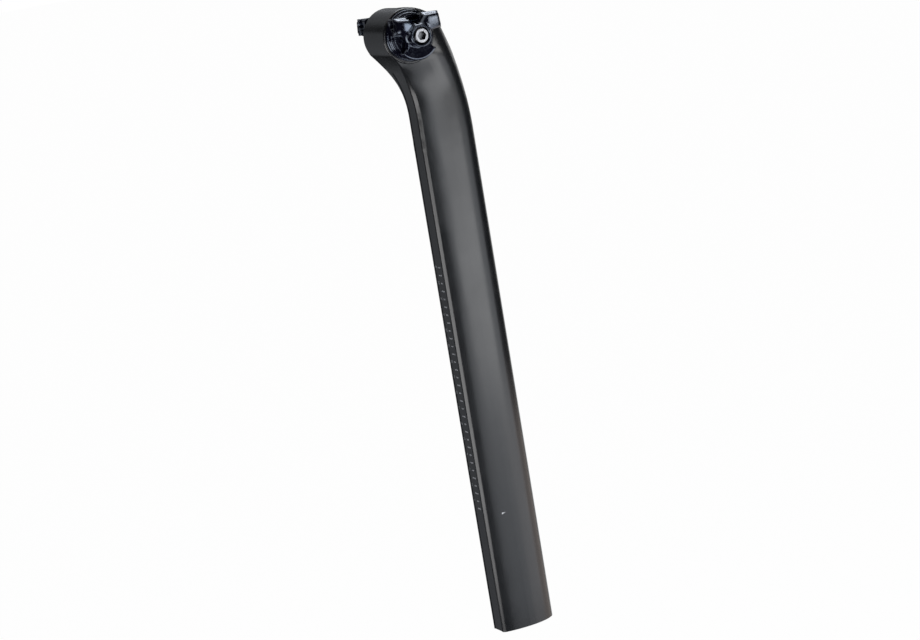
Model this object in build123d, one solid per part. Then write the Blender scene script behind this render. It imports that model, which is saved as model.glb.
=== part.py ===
from build123d import *

import math
import os

# Bicycle seatpost: an aero carbon post with a moulded head and a clamp for two saddle rails.
# Millimetres. +X is forward, +Y is the rider's left and +Z is up along the tube.
# The origin is the middle of the tube's lower end.

# Tube
POST_LENGTH = 380.0           # clamp axis above the lower end
SETBACK = 20.0                # clamp axis behind the middle of the tube
TUBE_CHORD = 38.6             # rear face to nose
TUBE_WIDTH = 20.0             # at the widest place
TUBE_WIDEST = 18.2            # rear face to the widest place
TUBE_REAR_WIDTH = 16.0        # flat rear face with its rounded edges
TUBE_EDGE_RADIUS = 3.0        # rear edges
TUBE_WALL = 2.2
CAVITY_DROP = 66.0            # full hollow ends this far below the clamp axis
CAVITY_TIP = 26.0             # length of the narrowing top of the hollow
CAVITY_TAPER = 12.0           # degrees
CAVITY_EDGE_RADIUS = 0.5

# Neck and head
HEAD_RADIUS = 16.8
HEAD_DROP = 0.35              # middle of the head's round below the clamp axis
HEAD_WIDTH = 29.2
HEAD_BORE_RADIUS = 13.6
HEAD_RIM_RADIUS = 0.8
NECK_REAR_RADIUS = 62.0       # concave rear bend from the tube to the head
NECK_REAR_STAND = 0.15        # the rear bend passes the head's round this far outside it
NECK_FRONT_RADIUS = 200.0     # convex front bend
NECK_FRONT_DROP = 66.0        # the front bend starts this far below the clamp axis
NECK_STRAIGHT = 6.0           # straight start of the neck
NECK_WIDTH = 28.9             # widest place below the head
NECK_REAR_WIDTH = 28.8        # rear face where it meets the head
CROWN_DROP = 0.1              # the crown in front of the head stays this far below its top
CROWN_END_LEAN = 86.0         # degrees, the crown's end on top of the head
CROWN_INNER_BEARING = 130.0   # degrees about the clamp axis, rear edge of the crown's end
CROWN_INNER_REACH = 8.0       # from the clamp axis to that edge
CROWN_DIVE_POWER = 2.2        # how late that edge sinks into the head
BEND_STEPS = 10               # sections along the bend
CROWN_STEPS = 10              # sections over the crown
FLARE_POWER = 2.9             # how late the neck widens towards the head
SIDE_FULLNESS = 2.8           # swell of the sides where they leave the rear edges

# Sunk panel in the rear face
PANEL_DEPTH = 0.35
PANEL_WIDTH = 9.8
PANEL_TOP_DROP = 22.0         # upper end below the clamp axis

# Saddle rails
RAIL_DIAMETER = 7.0
RAIL_SPACING = 44.0
RAIL_HEIGHT = 7.9             # above the clamp axis

# Inner jaws
SPIGOT_LENGTH = 8.0
SPIGOT_WALL = 2.4
SPIGOT_FLOOR = 3.0
FLANGE_RADIUS = 15.4
FLANGE_THICKNESS = 1.6
STEP_RADIUS = 13.9
STEP_THICKNESS = 2.0
CRADLE_RADIUS = 12.8
CRADLE_REACH = 13.2           # half length along the rail
CRADLE_TOP = 11.9             # above the clamp axis
CRADLE_LIP = 4.0              # below the rail channel
TURNED_CHAMFER = 0.35

# Outer jaws
REAR_EAR_REACH = 14.5         # from the bolt along the rail
FRONT_EAR_REACH = 17.1
EAR_SPLAY = 0.9               # the ears' ends lean in by this much at the top
EAR_GAP = 10.4                # valley between the two ears
EAR_TOP = 12.2                # above the clamp axis, at the ears' ends
REAR_EAR_SHOULDER = 11.7      # above the clamp axis, at the valley
FRONT_EAR_SHOULDER = 13.0
EAR_FOOT = 0.6                # lower end of the ears above the clamp axis
EAR_DEPTH = 8.9               # along the bolt, where the ears meet the boss
EAR_TAPER = 9.5               # degrees
EAR_ROUND = 42.0              # radius of the outer faces about an upright line
EAR_LIP = 2.2                 # below the rail channel, at the ears' ends
EAR_CORNER_RADIUS = 1.6
APRON_RADIUS = 14.8           # round lower end on the bolt head's side
NUT_END_RADIUS = 10.6         # round lower end on the nut's side
APRON_THICKNESS = 3.6
APRON_EDGE_RADIUS = 1.0
BOSS_CHAMFER = 0.4
SEAT_CHAMFER = 0.25           # mouth of the bolt head's seat
APRON_SPREAD = 104.0          # degrees, angle of the round lower edge
WAIST_HALF_WIDTH = 8.2
VALLEY_FLOOR = 7.4            # above the clamp axis
BOSS_RADIUS = 6.9
BOSS_HEIGHT = 9.8
KEY_WIDTH = 10.0              # tongue that keeps the outer jaw straight
KEY_HEIGHT = 4.0
KEY_LENGTH = 6.0
KEY_DROP = 7.4                # its middle below the clamp axis

# Bolt, washer and nut
BOLT_DIAMETER = 6.0
BOLT_LENGTH = 60.0
BOLT_HEAD_DIAMETER = 10.0
BOLT_HEAD_HEIGHT = 5.8
BOLT_HEAD_CHAMFER = 0.9
BOLT_END_CHAMFER = 0.6
HEX_KEY = 5.0
HEX_DEPTH = 3.2
WASHER_DIAMETER = 10.2
WASHER_THICKNESS = 1.0
COUNTERBORE_DEPTH = 6.3
NUT_FLATS = 10.0
NUT_THICKNESS = 5.0

# Clearances
SPIGOT_CLEARANCE = 0.05       # running fit in the head, on the radius
SEAT_CLEARANCE = 0.05         # flange to the end of the head
JAW_SPLIT = 1.0               # between the jaws of one rail
KEY_CLEARANCE = 0.12
BOLT_CLEARANCE = 0.3
WASHER_CLEARANCE = 0.15
NUT_CLEARANCE = 0.12
NUT_THREAD_CLEARANCE = 0.05   # running fit that stands for the thread, on the radius
CUT_OVERRUN = 2.0             # how far a cutting body passes the face that it opens

# Places that follow from the sizes above
TUBE_REAR = -TUBE_CHORD / 2
TUBE_NOSE = TUBE_CHORD / 2
CLAMP_X = -SETBACK
CLAMP_Z = POST_LENGTH
CLAMP_AXIS = Location((CLAMP_X, 0, CLAMP_Z))
HEAD_Z = CLAMP_Z - HEAD_DROP
HEAD_END = HEAD_WIDTH / 2
NECK_BASE = CLAMP_Z - NECK_FRONT_DROP
RAIL_Y = RAIL_SPACING / 2
RAIL_RADIUS = RAIL_DIAMETER / 2
FLANGE_Y = HEAD_END + SEAT_CLEARANCE
CRADLE_FACE = RAIL_Y - JAW_SPLIT / 2
JAW_FACE = RAIL_Y + JAW_SPLIT / 2
BOSS_FACE = JAW_FACE + BOSS_HEIGHT
SEAT_Y = BOSS_FACE - COUNTERBORE_DEPTH
BOLT_SEAT_Y = SEAT_Y + WASHER_THICKNESS


def along_y(radius, start, end):
    """Cylinder about the clamp axis between two places along Y, given in the clamp's own frame."""
    middle = Pos(0, (start + end) / 2, 0)
    return middle * Rot(90, 0, 0) * Cylinder(radius, end - start)


def clamp_plane(y):
    """Sketch plane across the clamp axis: local x is to the rear, local y is up, outward is +Y."""
    return Plane(origin=(0, y, 0), x_dir=(-1, 0, 0), z_dir=(0, 1, 0))


def hexagon(flats):
    """Regular hexagon with its flats this far apart."""
    return RegularPolygon(radius=flats / 2, side_count=6, major_radius=False)


# Post

def rear_bend_centre():
    """Centre (x, z) of the concave rear bend from the tube's rear face to the head."""
    reach = NECK_REAR_RADIUS + HEAD_RADIUS + NECK_REAR_STAND
    centre_x = TUBE_REAR - NECK_REAR_RADIUS
    drop = math.sqrt(reach**2 - (CLAMP_X - centre_x) ** 2)
    return centre_x, HEAD_Z - drop


def rear_bend_end():
    """Point (x, z) where the rear bend comes nearest to the head."""
    centre_x, centre_z = rear_bend_centre()
    bearing = math.atan2(HEAD_Z - centre_z, CLAMP_X - centre_x)
    return (
        centre_x + NECK_REAR_RADIUS * math.cos(bearing),
        centre_z + NECK_REAR_RADIUS * math.sin(bearing),
    )


def rear_point(z):
    """Rear face of the tube and neck at height z."""
    centre_x, centre_z = rear_bend_centre()
    rise = max(z - centre_z, 0.0)
    return centre_x + math.sqrt(NECK_REAR_RADIUS**2 - rise**2), z


def front_point(lean):
    """Point (x, z) of the front edge where it leans back by this angle, on the bend or over the crown."""
    bend_lean = math.asin(NECK_FRONT_DROP / NECK_FRONT_RADIUS)
    x = TUBE_NOSE - NECK_FRONT_RADIUS * (1 - math.cos(min(lean, bend_lean)))
    z = NECK_BASE + NECK_FRONT_RADIUS * math.sin(min(lean, bend_lean))
    if lean <= bend_lean:
        return x, z
    # The crown is a parabola that touches the bend's end and the top of the head.
    top = HEAD_Z + HEAD_RADIUS - CROWN_DROP
    corner_x = x - (top - z) * math.tan(bend_lean)
    ahead = (top - z) * (math.tan(lean) - math.tan(bend_lean))
    share = ahead / (ahead + corner_x - CLAMP_X)
    past_x = share * CLAMP_X + (1 - share) * corner_x
    before_x = share * corner_x + (1 - share) * x
    return share * past_x + (1 - share) * before_x, top - (1 - share) ** 2 * (top - z)


def aero_section(rear, front, rear_width, width, widest, edge_radius):
    """Flat-backed section between a rear and a front point, both (x, z), across the Y axis."""
    run = (front[0] - rear[0], front[1] - rear[1])
    chord = math.hypot(*run)
    ahead = (run[0] / chord, 0, run[1] / chord)
    plane = Plane(origin=(rear[0], 0, rear[1]), x_dir=ahead, z_dir=(-ahead[2], 0, ahead[0]))
    flat = rear_width / 2 - edge_radius
    slope = math.atan(SIDE_FULLNESS * (width - rear_width) / 2 / widest)
    edge_end = (
        edge_radius * (1 - math.sin(slope)),
        flat + edge_radius * math.cos(slope),
    )
    edge = TangentArc((0, flat), edge_end, tangent=(0, 1))
    side = Spline(
        edge_end,
        (widest, width / 2),
        tangents=[(math.cos(slope), math.sin(slope)), (1, 0)],
    )
    half = Curve() + [edge, side]
    nose = EllipticalCenterArc((widest, 0), chord - widest, width / 2, -90, arc_size=180)
    back = Line((0, -flat), (0, flat))
    return plane * make_face(Curve() + [back, nose, half, mirror(half, Plane.XZ)])


def tube_section(z, wall=0.0):
    """Section of the straight tube at height z, or of its hollow when a wall is given."""
    return aero_section(
        (TUBE_REAR + wall, z),
        (TUBE_NOSE - wall, z),
        TUBE_REAR_WIDTH - 2 * wall,
        TUBE_WIDTH - 2 * wall,
        TUBE_WIDEST - wall,
        max(TUBE_EDGE_RADIUS - wall, CAVITY_EDGE_RADIUS),
    )


def neck_section(rear, front, flare):
    """Section of the neck: flare 0 is as wide as the tube, flare 1 as wide as below the head."""
    chord = math.dist(rear, front)
    return aero_section(
        rear,
        front,
        TUBE_REAR_WIDTH + flare * (NECK_REAR_WIDTH - TUBE_REAR_WIDTH),
        TUBE_WIDTH + flare * (NECK_WIDTH - TUBE_WIDTH),
        TUBE_WIDEST * chord / TUBE_CHORD,
        TUBE_EDGE_RADIUS + flare * (HEAD_RIM_RADIUS - TUBE_EDGE_RADIUS),
    )


def neck():
    """Loft from the tube up the bend, then fanned over the crown until it ends inside the head."""
    end_x, end_z = rear_bend_end()
    sections = [tube_section(NECK_BASE - NECK_STRAIGHT)]
    for step in range(BEND_STEPS + 1):
        rise = step / BEND_STEPS
        z = NECK_BASE + rise * (end_z - NECK_BASE)
        lean = math.asin((z - NECK_BASE) / NECK_FRONT_RADIUS)
        flare = math.sin(math.pi / 2 * rise**FLARE_POWER) ** 2
        sections.append(neck_section(rear_point(z), front_point(lean), flare))
    first_bearing = math.atan2(end_z - CLAMP_Z, end_x - CLAMP_X) + 2 * math.pi
    first_reach = math.dist((end_x, end_z), (CLAMP_X, CLAMP_Z))
    first_lean = math.asin((end_z - NECK_BASE) / NECK_FRONT_RADIUS)
    for step in range(1, CROWN_STEPS + 1):
        turn = step / CROWN_STEPS
        bearing = first_bearing + turn * (math.radians(CROWN_INNER_BEARING) - first_bearing)
        reach = first_reach + turn**CROWN_DIVE_POWER * (CROWN_INNER_REACH - first_reach)
        rear = (CLAMP_X + reach * math.cos(bearing), CLAMP_Z + reach * math.sin(bearing))
        lean = first_lean + turn * (math.radians(CROWN_END_LEAN) - first_lean)
        sections.append(neck_section(rear, front_point(lean), 1.0))
    return loft(sections)


def hollow():
    """The tube's inside, open at the lower end and narrowing to a blunt tip in the neck."""
    top = CLAMP_Z - CAVITY_DROP
    straight = extrude(tube_section(-CUT_OVERRUN, TUBE_WALL), top + CUT_OVERRUN, dir=(0, 0, 1))
    tip = extrude(tube_section(top, TUBE_WALL), CAVITY_TIP, dir=(0, 0, 1), taper=CAVITY_TAPER)
    return straight + tip


def rear_panel():
    """Shallow cut along the rear face, from below the head down through the lower end."""
    centre_x, centre_z = rear_bend_centre()
    top = CLAMP_Z - PANEL_TOP_DROP
    inner = NECK_REAR_RADIUS + PANEL_DEPTH
    outer = NECK_REAR_RADIUS - CUT_OVERRUN
    rise = math.asin((top - centre_z) / inner)
    tip = (centre_x + inner * math.cos(rise), top)
    outer_tip = (centre_x + outer * math.cos(rise), centre_z + outer * math.sin(rise))
    start = (centre_x + inner, centre_z)
    outer_start = (centre_x + outer, centre_z)
    below = -CUT_OVERRUN
    edges = [
        Line((start[0], below), start),
        TangentArc(start, tip, tangent=(0, 1)),
        Line(tip, outer_tip),
        TangentArc(outer_start, outer_tip, tangent=(0, 1)),
        Line(outer_start, (outer_start[0], below)),
        Line((outer_start[0], below), (start[0], below)),
    ]
    return extrude(Plane.XZ * make_face(Curve() + edges), PANEL_WIDTH / 2, both=True)


def post_body():
    """Carbon moulding: tube, neck and head in one piece, bored across for the clamp."""
    tube = extrude(tube_section(0), NECK_BASE - NECK_STRAIGHT, dir=(0, 0, 1))
    barrel = along_y(HEAD_RADIUS, -HEAD_END, HEAD_END)
    barrel = fillet(barrel.edges().filter_by(GeomType.CIRCLE), HEAD_RIM_RADIUS)
    body = tube + neck() + Pos(CLAMP_X, 0, HEAD_Z) * barrel
    body -= hollow() + rear_panel()
    bore = CLAMP_AXIS * along_y(HEAD_BORE_RADIUS, -HEAD_END - CUT_OVERRUN, HEAD_END + CUT_OVERRUN)
    return body - bore


# Clamp, built for the left side in a frame whose Y axis is the clamp axis

def rail_channel():
    """Round channel along X for one saddle rail."""
    length = 2 * (FRONT_EAR_REACH + CUT_OVERRUN)
    return Pos(0, RAIL_Y, RAIL_HEIGHT) * Rot(0, 90, 0) * Cylinder(RAIL_RADIUS, length)


def bolt_hole(end):
    """Clearance hole for the bolt, from the middle of the post out to this place."""
    return along_y(BOLT_DIAMETER / 2 + BOLT_CLEARANCE, 0, end)


def key(clearance):
    """Tongue of the outer jaw that slides in the inner jaw, or its slot with a clearance."""
    outline = Pos(0, -KEY_DROP) * Rectangle(KEY_WIDTH + 2 * clearance, KEY_HEIGHT + 2 * clearance)
    return extrude(clamp_plane(JAW_FACE) * outline, -KEY_LENGTH - clearance)


def inner_clamp():
    """Turned and milled inner jaw: spigot, flange, step and half of the rail channel."""
    flange_end = FLANGE_Y + FLANGE_THICKNESS
    step_end = flange_end + STEP_THICKNESS
    spigot = HEAD_BORE_RADIUS - SPIGOT_CLEARANCE
    inner_end = FLANGE_Y - SPIGOT_LENGTH
    profile = Polyline(
        (0, inner_end),
        (spigot, inner_end),
        (spigot, FLANGE_Y),
        (FLANGE_RADIUS, FLANGE_Y),
        (FLANGE_RADIUS, flange_end),
        (STEP_RADIUS, flange_end),
        (STEP_RADIUS, step_end),
        (CRADLE_RADIUS, step_end),
        (CRADLE_RADIUS, CRADLE_FACE),
        (0, CRADLE_FACE),
        close=True,
    )
    turned = revolve(make_face(profile), Axis.Y)
    rims = turned.edges().filter_by(GeomType.CIRCLE).filter_by(lambda e: e.center().Y > FLANGE_Y)
    turned = chamfer(rims.filter_by(lambda e: e.radius in (FLANGE_RADIUS, STEP_RADIUS)), TURNED_CHAMFER)
    lip = RAIL_HEIGHT - RAIL_RADIUS - CRADLE_LIP
    outline = Pos(0, (lip + CRADLE_TOP) / 2) * RectangleRounded(
        2 * CRADLE_REACH, CRADLE_TOP - lip, EAR_CORNER_RADIUS
    )
    cradle = extrude(clamp_plane(flange_end) * outline, CRADLE_FACE - flange_end)
    pocket = along_y(spigot - SPIGOT_WALL, inner_end - CUT_OVERRUN, FLANGE_Y - SPIGOT_FLOOR)
    return turned + cradle - rail_channel() - bolt_hole(BOSS_FACE) - key(KEY_CLEARANCE) - pocket


def jaw_side(reach, ear_height, end_radius):
    """Rear half of the outer jaw's outline, from the round lower end up to the valley."""
    spread = math.radians(APRON_SPREAD / 2)
    shoulder = (end_radius * math.sin(spread), -end_radius * math.cos(spread))
    ear_foot = (reach, RAIL_HEIGHT - RAIL_RADIUS - EAR_LIP)
    ear_tip = (reach - EAR_SPLAY, EAR_TOP)
    ear_shoulder = (EAR_GAP / 2, ear_height)
    return Curve() + [
        TangentArc((0, -end_radius), shoulder, tangent=(1, 0)),
        ThreePointArc(shoulder, (WAIST_HALF_WIDTH, 0), ear_foot),
        Line(ear_foot, ear_tip),
        Line(ear_tip, ear_shoulder),
        TangentArc((0, VALLEY_FLOOR), ear_shoulder, tangent=(1, 0)),
    ]


def jaw_outline(end_radius):
    """Outer jaw seen along the bolt: two ears, a narrow waist and a round lower end."""
    front = jaw_side(FRONT_EAR_REACH, FRONT_EAR_SHOULDER, end_radius)
    rear = jaw_side(REAR_EAR_REACH, REAR_EAR_SHOULDER, end_radius)
    return make_face(Curve() + [rear, mirror(front, Plane.YZ)])


def ear(reach, shoulder):
    """One tapered ear of the outer jaw, from inside the boss to its end behind the bolt."""
    root = -EAR_DEPTH * math.tan(math.radians(EAR_TAPER))
    valley = VALLEY_FLOOR + root * (shoulder - VALLEY_FLOOR) / (EAR_GAP / 2)
    outline = Polyline(
        (root, valley),
        (EAR_GAP / 2, shoulder),
        (reach - EAR_SPLAY, EAR_TOP),
        (reach, RAIL_HEIGHT - RAIL_RADIUS - EAR_LIP),
        (WAIST_HALF_WIDTH, EAR_FOOT),
        (root, EAR_FOOT),
        close=True,
    )
    block = extrude(clamp_plane(JAW_FACE) * make_face(outline), EAR_DEPTH, taper=EAR_TAPER)
    block &= Pos(0, JAW_FACE + EAR_DEPTH - EAR_ROUND, 0) * Cylinder(EAR_ROUND, 4 * EAR_TOP)
    inner_face = block.faces().sort_by(Axis.Y)[0]
    return fillet(block.edges() - inner_face.edges(), EAR_CORNER_RADIUS)


def outer_clamp(end_radius):
    """Forged outer jaw with its ears, lower end, bolt boss and sliding key, without the bolt's seat."""
    front_ear = ear(FRONT_EAR_REACH, FRONT_EAR_SHOULDER)
    ears = ear(REAR_EAR_REACH, REAR_EAR_SHOULDER) + mirror(front_ear, Plane.YZ)
    apron = extrude(clamp_plane(JAW_FACE) * jaw_outline(end_radius), APRON_THICKNESS)
    apron = fillet(apron.edges().group_by(Axis.Y)[-1], APRON_EDGE_RADIUS)
    boss = along_y(BOSS_RADIUS, JAW_FACE, BOSS_FACE)
    boss = chamfer(boss.edges().group_by(Axis.Y)[-1], BOSS_CHAMFER)
    return ears + apron + boss + key(0) - rail_channel() - bolt_hole(BOSS_FACE + CUT_OVERRUN)


def outer_clamp_with_washer_seat():
    """Outer jaw of the bolt head's side, with a round counterbore."""
    radius = WASHER_DIAMETER / 2 + WASHER_CLEARANCE
    mouth = Pos(0, BOSS_FACE - SEAT_CHAMFER / 2, 0) * Rot(-90, 0, 0) * Cone(
        radius, radius + SEAT_CHAMFER, SEAT_CHAMFER
    )
    return outer_clamp(APRON_RADIUS) - along_y(radius, SEAT_Y, BOSS_FACE + CUT_OVERRUN) - mouth


def outer_clamp_with_nut_seat():
    """Outer jaw of the nut's side, with a pocket that keeps the nut from turning."""
    pocket = clamp_plane(SEAT_Y) * hexagon(NUT_FLATS + 2 * NUT_CLEARANCE)
    return outer_clamp(NUT_END_RADIUS) - extrude(pocket, COUNTERBORE_DEPTH + CUT_OVERRUN)


def bolt_washer():
    """Flat washer on the seat of the outer jaw."""
    ring = along_y(WASHER_DIAMETER / 2, SEAT_Y, BOLT_SEAT_Y)
    return ring - bolt_hole(BOSS_FACE)


def clamp_bolt():
    """Socket-head bolt with its head outwards and its shank across the whole clamp."""
    head_end = BOLT_SEAT_Y + BOLT_HEAD_HEIGHT
    head = along_y(BOLT_HEAD_DIAMETER / 2, BOLT_SEAT_Y, head_end)
    head = chamfer(head.edges().group_by(Axis.Y)[-1], BOLT_HEAD_CHAMFER)
    shank = along_y(BOLT_DIAMETER / 2, BOLT_SEAT_Y - BOLT_LENGTH, BOLT_SEAT_Y)
    shank = chamfer(shank.edges().group_by(Axis.Y)[0], BOLT_END_CHAMFER)
    socket = extrude(clamp_plane(head_end) * hexagon(HEX_KEY), -HEX_DEPTH)
    return head + shank - socket


def clamp_nut():
    """Hexagon nut in the pocket of the outer jaw."""
    body = extrude(clamp_plane(SEAT_Y) * hexagon(NUT_FLATS), NUT_THICKNESS)
    return body - along_y(BOLT_DIAMETER / 2 + NUT_THREAD_CLEARANCE, 0, BOSS_FACE)


def left(piece):
    """A clamp piece in its place on the left side."""
    return CLAMP_AXIS * piece


def right(piece):
    """A clamp piece turned over to the right side."""
    return CLAMP_AXIS * mirror(piece, Plane.XZ)


PIECES = {
    "post_body": post_body(),
    "inner_clamp_left": left(inner_clamp()),
    "inner_clamp_right": right(inner_clamp()),
    "outer_clamp_left": left(outer_clamp_with_nut_seat()),
    "outer_clamp_right": right(outer_clamp_with_washer_seat()),
    "bolt_washer": right(bolt_washer()),
    "clamp_bolt": right(clamp_bolt()),
    "clamp_nut": left(clamp_nut()),
}

os.makedirs("parts", exist_ok=True)
for name, shape in PIECES.items():
    export_step(shape, f"parts/{name}.step")
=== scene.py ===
"""Looks of an aero bicycle seatpost: its finishes, its printed height scale and a small studio."""

import math
from typing import NamedTuple

import bmesh
import bpy
from bpy.props import FloatProperty, FloatVectorProperty, IntProperty, PointerProperty
from mathutils import Matrix, Vector


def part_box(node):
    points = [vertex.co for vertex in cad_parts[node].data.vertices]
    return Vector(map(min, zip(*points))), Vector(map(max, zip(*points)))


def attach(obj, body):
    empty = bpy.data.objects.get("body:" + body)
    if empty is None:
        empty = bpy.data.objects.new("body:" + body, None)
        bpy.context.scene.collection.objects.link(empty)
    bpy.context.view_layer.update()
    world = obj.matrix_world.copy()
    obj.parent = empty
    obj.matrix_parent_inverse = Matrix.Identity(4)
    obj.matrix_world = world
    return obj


bl_info = {
    "name": "Seatpost Looks",
    "version": (1, 0, 0),
    "blender": (4, 5, 0),
    "location": "View3D > Sidebar > Seatpost",
    "description": "Finishes, printed height scale and studio for an aero seatpost",
    "category": "Object",
}

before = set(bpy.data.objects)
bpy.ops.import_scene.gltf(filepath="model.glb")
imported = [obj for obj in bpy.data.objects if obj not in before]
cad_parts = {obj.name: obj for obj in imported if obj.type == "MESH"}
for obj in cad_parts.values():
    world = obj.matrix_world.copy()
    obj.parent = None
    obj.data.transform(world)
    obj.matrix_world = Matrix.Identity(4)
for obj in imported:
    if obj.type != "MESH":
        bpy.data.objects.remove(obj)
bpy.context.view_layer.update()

MM = 0.001
IMAGE_WIDTH = 920
SENSOR_WIDTH = 36.0
WHITE = (1.0, 1.0, 1.0, 1.0)
# Places of the colour sockets of a Mix node
MIX_A, MIX_B, MIX_RESULT = 6, 7, 2
# Span that the values of a noise pattern mostly fill
NOISE_LOW, NOISE_HIGH = 0.3, 0.7

# Carbon: fibre streaks drawn out along the tube, clouds of tone, and the peel of the coat
STREAK_WIDTH = 1.6 * MM
STREAK_SQUEEZE = (1.0, 1.0, 0.12)
STREAK_ROUGHNESS = 0.6
CLOUD_SIZE = 18 * MM
TONE_FLOOR = 0.2
COAT_SPREAD = 0.03
COAT_IOR = 1.5
PEEL_SIZE, PEEL_DEPTH, PEEL_STRENGTH = 0.45 * MM, 0.02 * MM, 0.06

# Anodised aluminium: its edges turn softer between these heights from the bolt's middle
SOFTER_FROM, SOFTER_TO = -2 * MM, 4 * MM
SOFT_EDGE_SAMPLES = 8
# The edges of the inner jaws are this much crisper
INNER_EDGE_SHARE = 0.5
DYE_SIZE = 3 * MM
DYE_SMOOTHER, DYE_ROUGHER = 0.03, 0.04
OXIDE_IOR = 1.77
GRAIN_SIZE, GRAIN_DEPTH, GRAIN_STRENGTH = 0.3 * MM, 0.02 * MM, 0.03

# Steel: the plated pieces' mottle, then the bolt's bright face and the bare floor of its socket;
# the socket's walls between them are painted dark as shade
MOTTLE_SIZE = 0.8 * MM
ZINC_SMOOTH, ZINC_ROUGH = 0.26, 0.34
FACE_INNER, FACE_OUTER = 4.0 * MM, 4.2 * MM
FACE_SHALLOW, FACE_DEEP = 0.05 * MM, 0.6 * MM
FLOOR_SHALLOW, FLOOR_DEEP = 2.8 * MM, 3.1 * MM
FLOOR_BARE = 0.4
# Lathe rings are finer than this on a real bolt, and are drawn coarser to show
RING_PITCH, RING_DEPTH, RING_STRENGTH = 0.15 * MM, 0.005 * MM, 0.05
BOLT_ROUGHNESS = 0.3

# Print: blotches of thin ink, and the numbers of every second row
WEAR_SIZE = 0.8 * MM
WORN_SHARE = 0.6
INK_ROUGHNESS = 0.5
ROWS_PER_NUMBER = 2
DIGIT_CURVE_STEPS = 2
# Height of a digit in the built-in font, as a share of its size
DIGIT_HEIGHT_SHARE = 0.7
MERGE_DISTANCE = 1e-6
RAY_GAP = 1 * MM

# Studio: how far out the soft lights stand, and the tints of their light
LIGHT_RADIUS = 0.7
TOP_LIGHT_HEADING = 35
TOP_LIGHT_REACH = 0.5
TOP_LIGHT_HEIGHT = 1.05
TOP_LIGHT_SIZE = 0.6
NEUTRAL = (1.0, 1.0, 1.0)
COOL = (0.9, 0.94, 1.0)
WARM = (1.0, 0.88, 0.82)
CLOTH_STEPS = 64
# The cloth hangs this much of the way down to the floor
CLOTH_DROP_SHARE = 0.95
PAPER_ROUGHNESS = 0.5
# How much of the paper's look is plain white, the rest being light and shadow
PAPER_WHITE_SHARE = 0.985

POST_LOW = Vector(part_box("post_body")[0])
BOLT_LOW, BOLT_HIGH = (Vector(corner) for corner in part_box("clamp_bolt"))
# Middle of the bolt head's outer face
BOLT_FACE = Vector(((BOLT_LOW.x + BOLT_HIGH.x) / 2, BOLT_LOW.y, (BOLT_LOW.z + BOLT_HIGH.z) / 2))


class SoftLight(NamedTuple):
    """An upright soft light: its heading in degrees from +Y towards +X, its edges in metres.

    Its power is a share of the studio setting of that name.
    """

    name: str
    heading: float
    low: float
    high: float
    width: float
    power: str
    share: float = 1.0
    colour: tuple = NEUTRAL


SOFT_LIGHTS = (
    SoftLight("side_light", 145, -0.25, 0.255, 0.9, "side_power", colour=COOL),
    SoftLight("key_light", 150, 0.0, 0.255, 0.5, "key_power"),
    SoftLight("low_light", 126, -0.33, 0.0, 0.42, "low_power", colour=WARM),
    SoftLight("nose_light", 93, -0.33, -0.02, 0.5, "nose_power", colour=WARM),
    SoftLight("front_clamp_light", 127, 0.33, 0.42, 0.26, "ear_power", 0.36),
    SoftLight("rear_clamp_light", 174, 0.29, 0.42, 0.2, "ear_power", 0.4, COOL),
    SoftLight("edge_light", 249, -0.2, 0.225, 1.2, "edge_power"),
    SoftLight("rear_light", 335, -0.33, 0.5, 0.37, "rear_power", colour=COOL),
    SoftLight("left_light", 42, -0.33, 0.25, 0.7, "left_power"),
    SoftLight("left_clamp_light", 60, 0.29, 0.42, 0.35, "left_power", 0.15),
    SoftLight("head_light", 5, 0.5, 0.9, 0.6, "head_power", colour=COOL),
)


def srgb(code):
    """Linear RGB of an sRGB hex colour."""
    channels = [(code >> shift & 255) / 255 for shift in (16, 8, 0)]
    return tuple(c / 12.92 if c <= 0.04045 else ((c + 0.055) / 1.055) ** 2.4 for c in channels)


def rgba(colour):
    """A colour with full alpha, as a node socket takes it."""
    return (*colour, 1.0)


class SeatpostCamera(bpy.types.PropertyGroup):
    """Where the camera stands and how it looks."""

    side: FloatProperty(
        name="Side", description="Camera's turn from the right side towards the rear",
        default=math.radians(25.446), subtype="ANGLE",
    )
    height: FloatProperty(
        name="Height", description="Camera's rise above the horizon",
        default=math.radians(11.022), subtype="ANGLE",
    )
    roll: FloatProperty(
        name="Roll", description="Lean of the post in the picture",
        default=math.radians(9.426), subtype="ANGLE",
    )
    focal_pixels: FloatProperty(
        name="Focal length", description="Focal length in picture pixels", default=2651.0,
    )
    distance: FloatProperty(
        name="Distance", description="Camera to the point that it looks at",
        default=1.63934, unit="LENGTH",
    )
    aim: FloatVectorProperty(
        name="Aim", description="Point in the middle of the picture",
        default=(-0.010413, 0.0, 0.20018), subtype="XYZ", unit="LENGTH",
    )


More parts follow.
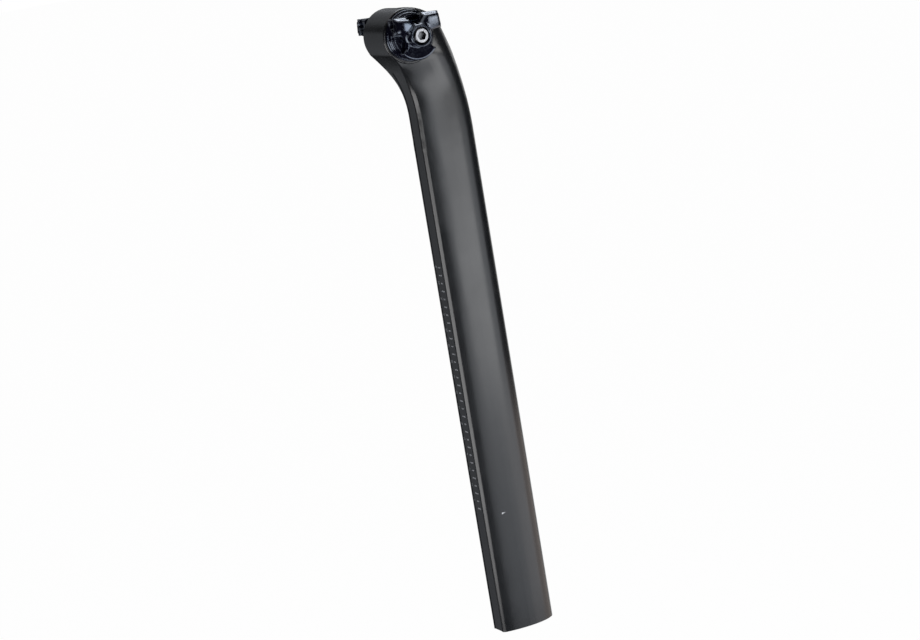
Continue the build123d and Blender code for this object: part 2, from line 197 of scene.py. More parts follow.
class SeatpostStudio(bpy.types.PropertyGroup):
    """Floor, cloth and lights. Left, right and behind are as the camera sees them."""

    floor_drop: FloatProperty(
        name="Floor drop", description="Floor below the post's lower end",
        default=0.35, unit="LENGTH",
    )
    floor_size: FloatProperty(
        name="Floor size", description="Edge of the square floor", default=30.0, unit="LENGTH",
    )
    floor_colour: FloatVectorProperty(
        name="Floor colour", description="Pale paper floor",
        default=srgb(0xF2F2F2), subtype="COLOR", size=3,
    )
    room_colour: FloatVectorProperty(
        name="Room colour", description="Light that fills the room",
        default=srgb(0x56575A), subtype="COLOR", size=3,
    )
    flag_radius: FloatProperty(
        name="Flag radius", description="Dark cloth round the post, which only reflections show",
        default=1.3, unit="LENGTH",
    )
    flag_height: FloatProperty(
        name="Flag height", description="Upper edge of the dark cloth",
        default=1.75, unit="LENGTH",
    )
    flag_colour: FloatVectorProperty(
        name="Flag colour", description="Dark cloth",
        default=srgb(0x141416), subtype="COLOR", size=3,
    )
    side_power: FloatProperty(
        name="Side light", description="Power of the broad light on the right",
        default=2.38, unit="POWER",
    )
    key_power: FloatProperty(
        name="Key light", description="Power of the narrower light on the right",
        default=1.0, unit="POWER",
    )
    low_power: FloatProperty(
        name="Low light", description="Power of the low light on the right",
        default=0.22, unit="POWER",
    )
    nose_power: FloatProperty(
        name="Nose light", description="Power of the low light that the tube's nose faces",
        default=0.56, unit="POWER",
    )
    ear_power: FloatProperty(
        name="Clamp lights", description="Power of the right-hand lights level with the clamp",
        default=1.3, unit="POWER",
    )
    edge_power: FloatProperty(
        name="Edge light", description="Power of the broad light on the left",
        default=6.8, unit="POWER",
    )
    rear_power: FloatProperty(
        name="Rear light", description="Power of the soft light behind on the left",
        default=0.25, unit="POWER",
    )
    left_power: FloatProperty(
        name="Left lights", description="Power of the lights behind, for the post's left side",
        default=1.1, unit="POWER",
    )
    head_power: FloatProperty(
        name="Head light", description="Power of the faint light behind and above the head",
        default=0.2, unit="POWER",
    )
    top_power: FloatProperty(
        name="Top light", description="Power of the soft light above and behind the clamp",
        default=7.0, unit="POWER",
    )


class SeatpostFinish(bpy.types.PropertyGroup):
    """Colours and gloss of the pieces."""

    carbon_dark: FloatVectorProperty(
        name="Carbon, dark", description="Darker fibre streaks",
        default=srgb(0x121315), subtype="COLOR", size=3,
    )
    carbon_light: FloatVectorProperty(
        name="Carbon, light", description="Lighter fibre streaks",
        default=srgb(0x1B1C1E), subtype="COLOR", size=3,
    )
    carbon_roughness: FloatProperty(
        name="Carbon roughness", description="Satin clear coat", default=0.23, min=0, max=1,
    )
    anodised: FloatVectorProperty(
        name="Anodised black", description="Clamp pieces",
        default=srgb(0x0A0A14), subtype="COLOR", size=3,
    )
    anodised_gloss: FloatVectorProperty(
        name="Anodised gloss", description="Tint of the light that the dyed layer reflects",
        default=srgb(0xDAE7FA), subtype="COLOR", size=3,
    )
    anodised_roughness: FloatProperty(
        name="Anodised roughness", description="Polished clamp pieces",
        default=0.09, min=0, max=1,
    )
    edge_softness: FloatProperty(
        name="Edge softness", description="Radius to which the clamp's edges shade round",
        default=0.8 * MM, unit="LENGTH",
    )
    ear_softness: FloatProperty(
        name="Ear softness", description="The same for the ears of the outer jaws",
        default=3.0 * MM, unit="LENGTH",
    )
    steel: FloatVectorProperty(
        name="Steel", description="Bolt's face, washer and nut",
        default=srgb(0xB9BABD), subtype="COLOR", size=3,
    )
    # Black oxide on the bolt's sides; the same dark colour is painted shade on the socket's walls
    black_oxide_and_socket_shade: FloatVectorProperty(
        name="Black oxide", description="Bolt's sides and socket",
        default=srgb(0x2C2C2F), subtype="COLOR", size=3,
    )
    ink: FloatVectorProperty(
        name="Ink", description="Printed scale", default=srgb(0x76787C), subtype="COLOR", size=3,
    )
    wedge_ink: FloatVectorProperty(
        name="Wedge ink", description="Printed wedge",
        default=srgb(0xC4C5C8), subtype="COLOR", size=3,
    )


class SeatpostScale(bpy.types.PropertyGroup):
    """Printed height scale on the rear face, and the wedge on the right side."""

    pitch: FloatProperty(
        name="Pitch", description="From row to row", default=5 * MM, unit="LENGTH",
    )
    rows: IntProperty(
        name="Rows", description="Rows of the scale", default=32, min=2,
    )
    top: FloatProperty(
        name="Top", description="Uppermost row above the lower end",
        default=235.4 * MM, unit="LENGTH",
    )
    across: FloatProperty(
        name="Lines", description="Middle of the lines from the face's middle, to the right",
        default=0.9 * MM, unit="LENGTH",
    )
    number_across: FloatProperty(
        name="Numbers", description="Middle of the numbers from the face's middle, to the left",
        default=3.5 * MM, unit="LENGTH",
    )
    dash_width: FloatProperty(
        name="Dash width", description="Line of a row without a number",
        default=4.0 * MM, unit="LENGTH",
    )
    tick_width: FloatProperty(
        name="Tick width", description="Line of a row with a number",
        default=2.6 * MM, unit="LENGTH",
    )
    line_height: FloatProperty(
        name="Line height", description="Height of the lines", default=0.8 * MM, unit="LENGTH",
    )
    number_height: FloatProperty(
        name="Number height", description="Height of the numbers",
        default=1.8 * MM, unit="LENGTH",
    )
    ink_thickness: FloatProperty(
        name="Ink thickness", description="Ink, half of it proud of the face",
        default=0.06 * MM, unit="LENGTH",
    )
    wedge_place: FloatVectorProperty(
        name="Wedge", description="Wedge's middle, along X and Z from the middle of the lower end",
        default=(-7.0 * MM, 75.8 * MM), size=2, unit="LENGTH",
    )
    wedge_length: FloatProperty(
        name="Wedge length", description="Printed wedge along the side",
        default=2.7 * MM, unit="LENGTH",
    )
    wedge_height: FloatProperty(
        name="Wedge height", description="Printed wedge at its blunt end",
        default=1.1 * MM, unit="LENGTH",
    )
    panel_depth: FloatProperty(
        name="Panel depth", description="Printed panel below the rear face",
        default=0.35 * MM, unit="LENGTH",
    )
    tube_chord: FloatProperty(
        name="Tube chord", description="Tube from rear face to nose",
        default=38.6 * MM, unit="LENGTH",
    )


def add_node(tree, kind, inputs=None, **settings):
    """Adds a node. Settings are its properties; inputs hold a value or another node's output."""
    made = tree.nodes.new(kind)
    for name, value in settings.items():
        setattr(made, name, value)
    for key, value in (inputs or {}).items():
        if isinstance(value, bpy.types.NodeSocket):
            tree.links.new(value, made.inputs[key])
        else:
            made.inputs[key].default_value = value
    return made


def new_material(name):
    """An empty node material and its tree."""
    material = bpy.data.materials.new(name)
    material.use_nodes = True
    material.node_tree.nodes.clear()
    return material, material.node_tree


def satin_carbon(finish):
    """Moulded carbon laminate under a satin clear coat.

    Faint fibre streaks run along the tube, and the coat has a fine peel that softens the sheen.
    """
    material, tree = new_material("satin_carbon")
    place = add_node(tree, "ShaderNodeTexCoord").outputs["Object"]
    streak_place = add_node(
        tree, "ShaderNodeMapping", {"Vector": place, "Scale": STREAK_SQUEEZE},
    ).outputs["Vector"]
    streaks = add_node(
        tree, "ShaderNodeTexNoise",
        {
            "Vector": streak_place, "Scale": 1 / STREAK_WIDTH, "Detail": 3.0,
            "Roughness": STREAK_ROUGHNESS,
        },
    ).outputs["Fac"]
    clouds = add_node(
        tree, "ShaderNodeTexNoise", {"Vector": place, "Scale": 1 / CLOUD_SIZE, "Detail": 2.0},
    ).outputs["Fac"]
    tone = add_node(
        tree, "ShaderNodeMath", {0: streaks, 1: clouds, 2: TONE_FLOOR}, operation="MULTIPLY_ADD",
    ).outputs["Value"]
    colour = add_node(
        tree, "ShaderNodeMix",
        {"Factor": tone, MIX_A: rgba(finish.carbon_dark), MIX_B: rgba(finish.carbon_light)},
        data_type="RGBA",
    ).outputs[MIX_RESULT]
    rough = add_node(
        tree, "ShaderNodeMapRange",
        {
            "Value": clouds, "From Min": NOISE_LOW, "From Max": NOISE_HIGH,
            "To Min": finish.carbon_roughness - COAT_SPREAD,
            "To Max": finish.carbon_roughness + COAT_SPREAD,
        },
    ).outputs["Result"]
    peel = add_node(
        tree, "ShaderNodeTexNoise", {"Vector": place, "Scale": 1 / PEEL_SIZE, "Detail": 2.0},
    ).outputs["Fac"]
    bump = add_node(
        tree, "ShaderNodeBump",
        {"Height": peel, "Strength": PEEL_STRENGTH, "Distance": PEEL_DEPTH},
    ).outputs["Normal"]
    shader = add_node(
        tree, "ShaderNodeBsdfPrincipled",
        {"Base Color": colour, "Roughness": rough, "IOR": COAT_IOR, "Normal": bump},
    )
    add_node(tree, "ShaderNodeOutputMaterial", {"Surface": shader.outputs["BSDF"]})
    return material


def black_anodised(finish, name, lower_softness, upper_softness):
    """Forged aluminium, polished and anodised black.

    It is nearly black, with sharp and faintly blue reflections. Tumbling before the anodising
    leaves its edges soft, more so above the bolt, where the ears flow out.
    """
    material, tree = new_material(name)
    place = add_node(tree, "ShaderNodeTexCoord").outputs["Object"]
    height = add_node(tree, "ShaderNodeSeparateXYZ", {"Vector": place}).outputs["Z"]
    softness = add_node(
        tree, "ShaderNodeMapRange",
        {
            "Value": height,
            "From Min": BOLT_FACE.z + SOFTER_FROM, "From Max": BOLT_FACE.z + SOFTER_TO,
            "To Min": lower_softness, "To Max": upper_softness,
        },
    ).outputs["Result"]
    dye = add_node(
        tree, "ShaderNodeTexNoise", {"Vector": place, "Scale": 1 / DYE_SIZE, "Detail": 3.0},
    ).outputs["Fac"]
    rough = add_node(
        tree, "ShaderNodeMapRange",
        {
            "Value": dye, "From Min": NOISE_LOW, "From Max": NOISE_HIGH,
            "To Min": finish.anodised_roughness - DYE_SMOOTHER,
            "To Max": finish.anodised_roughness + DYE_ROUGHER,
        },
    ).outputs["Result"]
    grain = add_node(
        tree, "ShaderNodeTexNoise", {"Vector": place, "Scale": 1 / GRAIN_SIZE, "Detail": 2.0},
    ).outputs["Fac"]
    soft = add_node(
        tree, "ShaderNodeBevel", {"Radius": softness}, samples=SOFT_EDGE_SAMPLES,
    ).outputs["Normal"]
    bump = add_node(
        tree, "ShaderNodeBump",
        {"Height": grain, "Strength": GRAIN_STRENGTH, "Distance": GRAIN_DEPTH, "Normal": soft},
    ).outputs["Normal"]
    shader = add_node(
        tree, "ShaderNodeBsdfPrincipled",
        {
            "Base Color": rgba(finish.anodised), "Specular Tint": rgba(finish.anodised_gloss),
            "Roughness": rough, "IOR": OXIDE_IOR, "Normal": bump,
        },
    )
    add_node(tree, "ShaderNodeOutputMaterial", {"Surface": shader.outputs["BSDF"]})
    return material


def zinc_steel(finish):
    """Zinc-plated steel: bright grey metal with a faint, fine mottle in its gloss."""
    material, tree = new_material("zinc_plated_steel")
    place = add_node(tree, "ShaderNodeTexCoord").outputs["Object"]
    mottle = add_node(
        tree, "ShaderNodeTexNoise", {"Vector": place, "Scale": 1 / MOTTLE_SIZE, "Detail": 3.0},
    ).outputs["Fac"]
    rough = add_node(
        tree, "ShaderNodeMapRange",
        {
            "Value": mottle, "From Min": NOISE_LOW, "From Max": NOISE_HIGH,
            "To Min": ZINC_SMOOTH, "To Max": ZINC_ROUGH,
        },
    ).outputs["Result"]
    shader = add_node(
        tree, "ShaderNodeBsdfPrincipled",
        {"Base Color": rgba(finish.steel), "Metallic": 1.0, "Roughness": rough},
    )
    add_node(tree, "ShaderNodeOutputMaterial", {"Surface": shader.outputs["BSDF"]})
    return material


def faced_bolt_steel(finish):
    """Bolt of black-oxide steel with a faced head: a bright ring round a socket whose walls are
    painted dark, as shade.

    Black oxide is nearly black with a soft gloss. The face keeps the fine rings of the lathe tool,
    and the socket's floor is partly bare.
    """
    material, tree = new_material("faced_dark_steel_with_painted_socket_shade")
    place = add_node(tree, "ShaderNodeTexCoord").outputs["Object"]
    from_face = add_node(
        tree, "ShaderNodeVectorMath", {0: place, 1: BOLT_FACE}, operation="SUBTRACT",
    ).outputs["Vector"]
    depth = add_node(tree, "ShaderNodeSeparateXYZ", {"Vector": from_face}).outputs["Y"]
    flat = add_node(
        tree, "ShaderNodeVectorMath", {0: from_face, 1: (1, 0, 1)}, operation="MULTIPLY",
    ).outputs["Vector"]
    radius = add_node(tree, "ShaderNodeVectorMath", {0: flat}, operation="LENGTH").outputs["Value"]
    inside = add_node(
        tree, "ShaderNodeMapRange",
        {
            "Value": radius, "From Min": FACE_INNER, "From Max": FACE_OUTER,
            "To Min": 1.0, "To Max": 0.0,
        },
    ).outputs["Result"]
    # Deeper than the face, the socket's walls take the dark colour as painted shade
    shallow = add_node(
        tree, "ShaderNodeMapRange",
        {
            "Value": depth, "From Min": FACE_SHALLOW, "From Max": FACE_DEEP,
            "To Min": 1.0, "To Max": 0.0,
        },
    ).outputs["Result"]
    face = add_node(
        tree, "ShaderNodeMath", {0: inside, 1: shallow}, operation="MULTIPLY",
    ).outputs["Value"]
    deep = add_node(
        tree, "ShaderNodeMapRange",
        {
            "Value": depth, "From Min": FLOOR_SHALLOW, "From Max": FLOOR_DEEP,
            "To Min": 0.0, "To Max": FLOOR_BARE,
        },
    ).outputs["Result"]
    bare = add_node(
        tree, "ShaderNodeMath", {0: inside, 1: deep, 2: face}, operation="MULTIPLY_ADD",
    ).outputs["Value"]
    colour = add_node(
        tree, "ShaderNodeMix",
        {"Factor": bare, MIX_A: rgba(finish.black_oxide_and_socket_shade), MIX_B: rgba(finish.steel)},
        data_type="RGBA",
    ).outputs[MIX_RESULT]
    rings = add_node(
        tree, "ShaderNodeMath", {0: radius, 1: 2 * math.pi / RING_PITCH}, operation="MULTIPLY",
    ).outputs["Value"]
    groove = add_node(tree, "ShaderNodeMath", {0: rings}, operation="SINE").outputs["Value"]
    bump = add_node(
        tree, "ShaderNodeBump",
        {"Height": groove, "Strength": RING_STRENGTH, "Distance": RING_DEPTH},
    ).outputs["Normal"]
    shader = add_node(
        tree, "ShaderNodeBsdfPrincipled",
        {"Base Color": colour, "Metallic": 1.0, "Roughness": BOLT_ROUGHNESS, "Normal": bump},
    )
    add_node(tree, "ShaderNodeOutputMaterial", {"Surface": shader.outputs["BSDF"]})
    return material


def printed_ink(name, ink):
    """Screen-printed ink, matt and slightly uneven."""
    material, tree = new_material(name)
    place = add_node(tree, "ShaderNodeTexCoord").outputs["Object"]
    wear = add_node(
        tree, "ShaderNodeTexNoise", {"Vector": place, "Scale": 1 / WEAR_SIZE, "Detail": 2.0},
    ).outputs["Fac"]
    ramp = add_node(tree, "ShaderNodeValToRGB", {"Fac": wear})
    ramp.color_ramp.elements[0].color = rgba([WORN_SHARE * c for c in ink])
    ramp.color_ramp.elements[1].color = rgba(ink)
    shader = add_node(
        tree, "ShaderNodeBsdfPrincipled",
        {"Base Color": ramp.outputs["Color"], "Roughness": INK_ROUGHNESS},
    )
    add_node(tree, "ShaderNodeOutputMaterial", {"Surface": shader.outputs["BSDF"]})
    return material


def dress(node, material):
    """Gives a carried-over solid its finish."""
    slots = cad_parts[node].data.materials
    slots.clear()
    slots.append(material)


class SEATPOST_OT_post(bpy.types.Operator):
    """Finish the carbon post"""

    bl_idname = "seatpost.post"
    bl_label = "Finish the post"

    def execute(self, context):
        dress("post_body", satin_carbon(context.scene.seatpost_finish))
        return {"FINISHED"}


class SEATPOST_OT_clamp(bpy.types.Operator):
    """Finish the four clamp jaws"""

    bl_idname = "seatpost.clamp"
    bl_label = "Finish the clamp"

    def execute(self, context):
        finish = context.scene.seatpost_finish
        crisp = INNER_EDGE_SHARE * finish.edge_softness
        inner = black_anodised(finish, "black_anodised_aluminium", crisp, crisp)
        outer = black_anodised(
            finish, "forged_black_anodised_aluminium", finish.edge_softness, finish.ear_softness,
        )
        for side in ("left", "right"):
            dress(f"inner_clamp_{side}", inner)
            dress(f"outer_clamp_{side}", outer)
        return {"FINISHED"}


class SEATPOST_OT_bolt(bpy.types.Operator):
    """Finish the bolt, its washer and its nut"""

    bl_idname = "seatpost.bolt"
    bl_label = "Finish the bolt"

    def execute(self, context):
        finish = context.scene.seatpost_finish
        dress("clamp_bolt", faced_bolt_steel(finish))
        plated = zinc_steel(finish)
        dress("bolt_washer", plated)
        dress("clamp_nut", plated)
        return {"FINISHED"}


def scale_lines_tree():
    """Geometry nodes for the scale's lines: flat bars in a column, by turns narrow and wide."""
    tree = bpy.data.node_groups.new("height_scale_lines", "GeometryNodeTree")
    sockets = tree.interface
    for name, kind in (
        ("Rows", "NodeSocketInt"), ("Pitch", "NodeSocketFloat"),
        ("Top middle", "NodeSocketVector"), ("Tick width", "NodeSocketFloat"),
        ("Dash width", "NodeSocketFloat"), ("Line height", "NodeSocketFloat"),
        ("Thickness", "NodeSocketFloat"), ("Ink", "NodeSocketMaterial"),
    ):
        sockets.new_socket(name, in_out="INPUT", socket_type=kind)
    sockets.new_socket("Geometry", in_out="OUTPUT", socket_type="NodeSocketGeometry")
    given = add_node(tree, "NodeGroupInput").outputs
    down = add_node(
        tree, "ShaderNodeMath", {0: given["Pitch"], 1: -1.0}, operation="MULTIPLY",
    ).outputs["Value"]
    step = add_node(tree, "ShaderNodeCombineXYZ", {"Z": down}).outputs["Vector"]
    column = add_node(
        tree, "GeometryNodeMeshLine",
        {"Count": given["Rows"], "Start Location": given["Top middle"], "Offset": step},
        mode="OFFSET",
    ).outputs["Mesh"]
    row = add_node(tree, "GeometryNodeInputIndex").outputs["Index"]
    # 0 for a row with a number, 1 for a row without
    plain = add_node(
        tree, "ShaderNodeMath", {0: row, 1: ROWS_PER_NUMBER}, operation="MODULO",
    ).outputs["Value"]
    width = add_node(
        tree, "GeometryNodeSwitch",
        {"Switch": plain, "False": given["Tick width"], "True": given["Dash width"]},
        input_type="FLOAT",
    ).outputs["Output"]
    stretch = add_node(
        tree, "ShaderNodeCombineXYZ", {"X": 1.0, "Y": width, "Z": 1.0},
    ).outputs["Vector"]
    size = add_node(
        tree, "ShaderNodeCombineXYZ",
        {"X": given["Thickness"], "Y": 1.0, "Z": given["Line height"]},
    ).outputs["Vector"]
    bar = add_node(tree, "GeometryNodeMeshCube", {"Size": size}).outputs["Mesh"]
    bars = add_node(
        tree, "GeometryNodeInstanceOnPoints",
        {"Points": column, "Instance": bar, "Scale": stretch},
    ).outputs["Instances"]
    real = add_node(tree, "GeometryNodeRealizeInstances", {"Geometry": bars}).outputs["Geometry"]
    inked = add_node(
        tree, "GeometryNodeSetMaterial", {"Geometry": real, "Material": given["Ink"]},
    ).outputs["Geometry"]
    add_node(tree, "NodeGroupOutput", {"Geometry": inked})
    return tree


def new_piece(name, mesh):
    """An object at the origin, in the scene."""
    piece = bpy.data.objects.new(name, mesh)
    bpy.context.collection.objects.link(piece)
    return piece


def scale_lines(scale, ink, face):
    """The lines of the scale as one plain mesh, on a face across X."""
    piece = new_piece("height_scale_lines", bpy.data.meshes.new("height_scale_lines"))
    tree = scale_lines_tree()
    modifier = piece.modifiers.new("lines", "NODES")
    modifier.node_group = tree
    values = {
        "Rows": scale.rows, "Pitch": scale.pitch,
        "Top middle": (face, -scale.across, POST_LOW.z + scale.top),
        "Tick width": scale.tick_width, "Dash width": scale.dash_width,
        "Line height": scale.line_height, "Thickness": scale.ink_thickness, "Ink": ink,
    }
    for item in tree.interface.items_tree:
        if item.in_out == "INPUT":
            modifier[item.identifier] = values[item.name]
    evaluated = piece.evaluated_get(bpy.context.evaluated_depsgraph_get())
    made = bpy.data.meshes.new_from_object(evaluated)
    piece.modifiers.remove(modifier)
    piece.data = made
    return piece


def scale_numbers(scale, ink, face):
    """The numbers of every second row, counted up from the lowest, as one plain mesh."""
    joined = bmesh.new()
    # Read from behind: the digits run towards -Y, stand along Z and face -X.
    turn = Matrix(((0, 0, -1), (-1, 0, 0), (0, 1, 0))).to_4x4()
    for row in range(0, scale.rows, ROWS_PER_NUMBER):
        text = bpy.data.curves.new("number", "FONT")
        text.body = str((scale.rows - row) // ROWS_PER_NUMBER)
        text.align_x, text.align_y = "CENTER", "CENTER"
        text.size = scale.number_height / DIGIT_HEIGHT_SHARE
        text.extrude = scale.ink_thickness / 2
        text.resolution_u = DIGIT_CURVE_STEPS
        holder = bpy.data.objects.new("number", text)
        digits = bpy.data.meshes.new_from_object(holder)
        height = POST_LOW.z + scale.top - row * scale.pitch
        digits.transform(Matrix.Translation((face, scale.number_across, height)) @ turn)
        joined.from_mesh(digits)
        bpy.data.objects.remove(holder)
        bpy.data.curves.remove(text)
        bpy.data.meshes.remove(digits)
    mesh = bpy.data.meshes.new("height_scale_numbers")
    bmesh.ops.remove_doubles(joined, verts=joined.verts, dist=MERGE_DISTANCE)
    joined.to_mesh(mesh)
    joined.free()
    mesh.materials.append(ink)
    return new_piece("height_scale_numbers", mesh)


def side_wedge(scale, ink):
    """A small flat wedge, printed on the right side and pointing forwards."""
    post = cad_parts["post_body"]
    x, z = scale.wedge_place
    start = Vector((x, post.bound_box[0][1] - RAY_GAP, z))
    found, spot, normal, _ = post.ray_cast(start, Vector((0.0, 1.0, 0.0)))
    if not found:
        raise RuntimeError("the wedge misses the post")
    along = Vector((0.0, 0.0, 1.0)).cross(normal).normalized()
    reach = along * scale.wedge_length / 2
    rise = normal.cross(along) * scale.wedge_height / 2
    out = normal * scale.ink_thickness / 2
    corners = (-reach - rise, reach + rise, rise - reach)
    points = [spot + corner + side for side in (-out, out) for corner in corners]
    faces = [(2, 1, 0), (3, 4, 5), (0, 1, 4, 3), (1, 2, 5, 4), (2, 0, 3, 5)]
    mesh = bpy.data.meshes.new("side_wedge")
    mesh.from_pydata(points, [], faces)
    mesh.materials.append(ink)
    return new_piece("side_wedge", mesh)


class SEATPOST_OT_scale(bpy.types.Operator):
    """Print the height scale on the rear face and the wedge on the right side"""

    bl_idname = "seatpost.scale"
    bl_label = "Print the scale"

    def execute(self, context):
        scale = context.scene.seatpost_scale
        finish = context.scene.seatpost_finish
        ink = printed_ink("grey_ink", finish.ink)
        wedge_ink = printed_ink("pale_grey_ink", finish.wedge_ink)
        face = scale.panel_depth - scale.tube_chord / 2
        for piece in (
            scale_lines(scale, ink, face),
            scale_numbers(scale, ink, face),
            side_wedge(scale, wedge_ink),
        ):
            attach(piece, "post")
        return {"FINISHED"}


def add_lamp(name, width, height, power, colour, place):
    """A rectangular soft light, which shows in reflections but not in the picture itself."""
    lamp = bpy.data.lights.new(name, "AREA")
    lamp.shape = "RECTANGLE"
    lamp.size, lamp.size_y = width, height
    lamp.energy = power
    lamp.color = colour
    light = bpy.data.objects.new(name, lamp)
    light.matrix_world = place
    light.visible_camera = False
    bpy.context.collection.objects.link(light)


def heading_point(heading, radius, height):
    """The point at a heading in degrees from +Y towards +X, so far out and so high."""
    turn = math.radians(heading)
    return Vector((radius * math.sin(turn), radius * math.cos(turn), height))


def facing(position, direction):
    """Places a light at a position, turned in a direction."""
    turned = direction.to_track_quat("-Z", "Y").to_matrix().to_4x4()
    return Matrix.Translation(position) @ turned


def soft_light(light, studio):
    """Stands one of the soft lights inside the round of dark cloth, facing the post."""
    position = heading_point(light.heading, LIGHT_RADIUS, (light.low + light.high) / 2)
    inwards = Vector((-position.x, -position.y, 0.0))
    power = light.share * getattr(studio, light.power)
    add_lamp(
        light.name, light.width, light.high - light.low, power, light.colour,
        facing(position, inwards),
    )


def top_light(power):
    """The soft light above and behind the clamp, turned to the bolt."""
    position = heading_point(TOP_LIGHT_HEADING, TOP_LIGHT_REACH, TOP_LIGHT_HEIGHT)
    add_lamp(
        "top_light", TOP_LIGHT_SIZE, TOP_LIGHT_SIZE, power, COOL,
        facing(position, BOLT_FACE - position),
    )


def dark_cloth(studio):
    """A closed-bottomed round of dark cloth, for dark parts in the gloss; nothing else sees it."""
    material, tree = new_material("dark_cloth")
    shade = add_node(
        tree, "ShaderNodeEmission", {"Color": rgba(studio.flag_colour), "Strength": 1.0},
    )
    add_node(tree, "ShaderNodeOutputMaterial", {"Surface": shade.outputs["Emission"]})
    low = POST_LOW.z - CLOTH_DROP_SHARE * studio.floor_drop
    points, faces = [], []
    for step in range(CLOTH_STEPS):
        turn = 2 * math.pi * step / CLOTH_STEPS
        x, y = studio.flag_radius * math.sin(turn), studio.flag_radius * math.cos(turn)
        points += [(x, y, low), (x, y, studio.flag_height)]
        after = (step + 1) % CLOTH_STEPS
        faces.append((2 * step, 2 * step + 1, 2 * after + 1, 2 * after))
    faces.append(tuple(range(0, 2 * CLOTH_STEPS, 2)))
    sheet = bpy.data.meshes.new("dark_cloth")
    sheet.from_pydata(points, [], faces)
    sheet.materials.append(material)
    cloth = new_piece("dark_cloth", sheet)
    cloth.visible_camera = False
    cloth.visible_diffuse = False
    cloth.visible_shadow = False
    cloth.visible_transmission = False
    return cloth


def place_camera(settings):
    """The camera, its lens and its lean."""
    turn, rise = settings.side, settings.height
    forward = Vector(
        (math.sin(turn) * math.cos(rise), math.cos(turn) * math.cos(rise), -math.sin(rise)),
    )
    level = Vector((math.cos(turn), -math.sin(turn), 0.0))
    upright = level.cross(forward)
    right = math.cos(settings.roll) * level - math.sin(settings.roll) * upright
    up = math.sin(settings.roll) * level + math.cos(settings.roll) * upright
    data = bpy.data.cameras.new("camera")
    data.sensor_fit = "HORIZONTAL"
    data.sensor_width = SENSOR_WIDTH
    data.lens = settings.focal_pixels * SENSOR_WIDTH / IMAGE_WIDTH
    camera = bpy.data.objects.new("camera", data)
    axes = Matrix((right, up, -forward)).transposed().to_4x4()
    place = Vector(settings.aim) - settings.distance * forward
    camera.matrix_world = Matrix.Translation(place) @ axes
    bpy.context.collection.objects.link(camera)
    bpy.context.scene.camera = camera


def seen_directly(tree):
    """1 for rays that come straight from the camera or by way of a gloss or a glass."""
    path = add_node(tree, "ShaderNodeLightPath").outputs
    gloss = add_node(
        tree, "ShaderNodeMath", {0: path["Is Camera Ray"], 1: path["Is Glossy Ray"]},
        operation="MAXIMUM",
    ).outputs["Value"]
    return add_node(
        tree, "ShaderNodeMath", {0: gloss, 1: path["Is Transmission Ray"]}, operation="MAXIMUM",
    ).outputs["Value"]


def pale_paper(studio):
    """Matt pale paper: looks white, and still takes a little of the post's shadow."""
    material, tree = new_material("pale_paper")
    paper = add_node(
        tree, "ShaderNodeBsdfDiffuse",
        {"Color": rgba(studio.floor_colour), "Roughness": PAPER_ROUGHNESS},
    ).outputs["BSDF"]
    glow = add_node(
        tree, "ShaderNodeEmission", {"Color": WHITE, "Strength": 1.0},
    ).outputs["Emission"]
    share = add_node(
        tree, "ShaderNodeMath", {0: seen_directly(tree), 1: PAPER_WHITE_SHARE},
        operation="MULTIPLY",
    ).outputs["Value"]
    mixed = add_node(
        tree, "ShaderNodeMixShader", {0: share, 1: paper, 2: glow},
    ).outputs["Shader"]
    add_node(tree, "ShaderNodeOutputMaterial", {"Surface": mixed})
    return material


def lit_room(studio):
    """World: an even grey light, white where it is seen."""
    world = bpy.data.worlds.new("room")
    world.use_nodes = True
    tree = world.node_tree
    tree.nodes.clear()
    room = add_node(
        tree, "ShaderNodeBackground", {"Color": rgba(studio.room_colour), "Strength": 1.0},
    ).outputs["Background"]
    white = add_node(
        tree, "ShaderNodeBackground", {"Color": WHITE, "Strength": 1.0},
    ).outputs["Background"]
    mixed = add_node(
        tree, "ShaderNodeMixShader", {0: seen_directly(tree), 1: room, 2: white},
    ).outputs["Shader"]
    add_node(tree, "ShaderNodeOutputWorld", {"Surface": mixed})
    bpy.context.scene.world = world


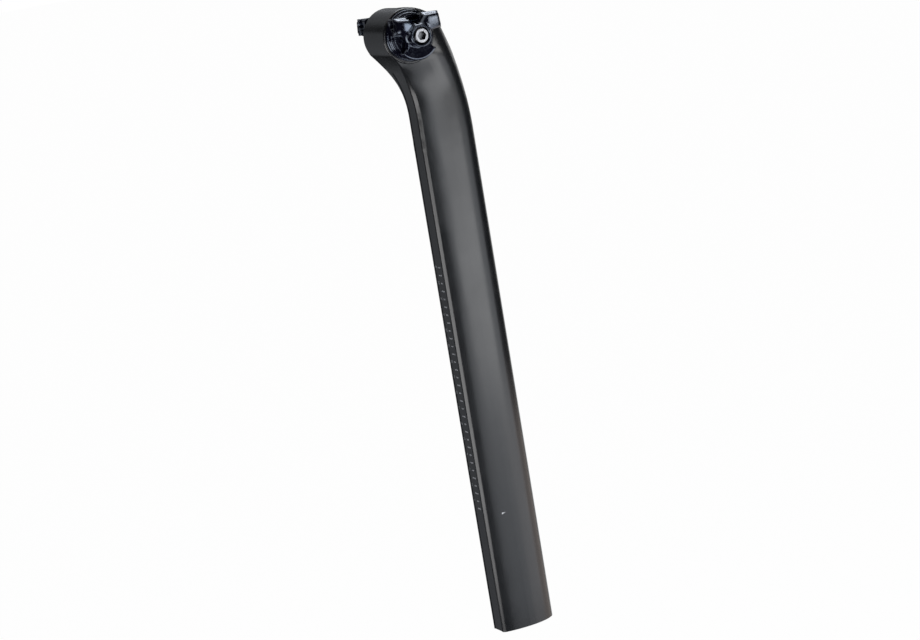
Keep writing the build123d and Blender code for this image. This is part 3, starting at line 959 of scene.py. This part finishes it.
def paper_floor(studio):
    """The square of pale paper below the post."""
    half, height = studio.floor_size / 2, POST_LOW.z - studio.floor_drop
    corners = [(-half, -half), (half, -half), (half, half), (-half, half)]
    sheet = bpy.data.meshes.new("floor")
    sheet.from_pydata([(x, y, height) for x, y in corners], [], [(0, 1, 2, 3)])
    sheet.materials.append(pale_paper(studio))
    return new_piece("floor", sheet)


class SEATPOST_OT_stage(bpy.types.Operator):
    """Set the floor, the lights and the camera"""

    bl_idname = "seatpost.stage"
    bl_label = "Set the stage"

    def execute(self, context):
        scene = context.scene
        studio = scene.seatpost_studio
        scene.view_settings.view_transform = "Standard"
        place_camera(scene.seatpost_camera)
        lit_room(studio)
        floor = paper_floor(studio)
        dark_cloth(studio)
        for light in SOFT_LIGHTS:
            soft_light(light, studio)
        top_light(studio.top_power)
        return {"FINISHED"}


SETTINGS = {
    "seatpost_camera": SeatpostCamera,
    "seatpost_studio": SeatpostStudio,
    "seatpost_finish": SeatpostFinish,
    "seatpost_scale": SeatpostScale,
}

OPERATORS = (
    SEATPOST_OT_post,
    SEATPOST_OT_clamp,
    SEATPOST_OT_bolt,
    SEATPOST_OT_scale,
    SEATPOST_OT_stage,
)


class SEATPOST_PT_steps(bpy.types.Panel):
    """Steps of the seatpost's looks, with their sizes and colours"""

    bl_idname = "SEATPOST_PT_steps"
    bl_label = "Seatpost"
    bl_space_type = "VIEW_3D"
    bl_region_type = "UI"
    bl_category = "Seatpost"

    def draw(self, context):
        for operator in OPERATORS:
            self.layout.operator(operator.bl_idname)
        for name, group in SETTINGS.items():
            box = self.layout.box()
            for field in group.__annotations__:
                box.prop(getattr(context.scene, name), field)


CLASSES = (*SETTINGS.values(), *OPERATORS, SEATPOST_PT_steps)


def register():
    """Adds the classes and their settings."""
    for cls in CLASSES:
        bpy.utils.register_class(cls)
    for name, group in SETTINGS.items():
        setattr(bpy.types.Scene, name, PointerProperty(type=group))


def unregister():
    """Takes the settings and the classes away again."""
    for name in SETTINGS:
        delattr(bpy.types.Scene, name)
    for cls in reversed(CLASSES):
        bpy.utils.unregister_class(cls)


def main():
    """Builds everything in order."""
    register()
    bpy.ops.seatpost.post()
    bpy.ops.seatpost.clamp()
    bpy.ops.seatpost.bolt()
    bpy.ops.seatpost.scale()
    bpy.ops.seatpost.stage()


if __name__ == "__main__":
    main()
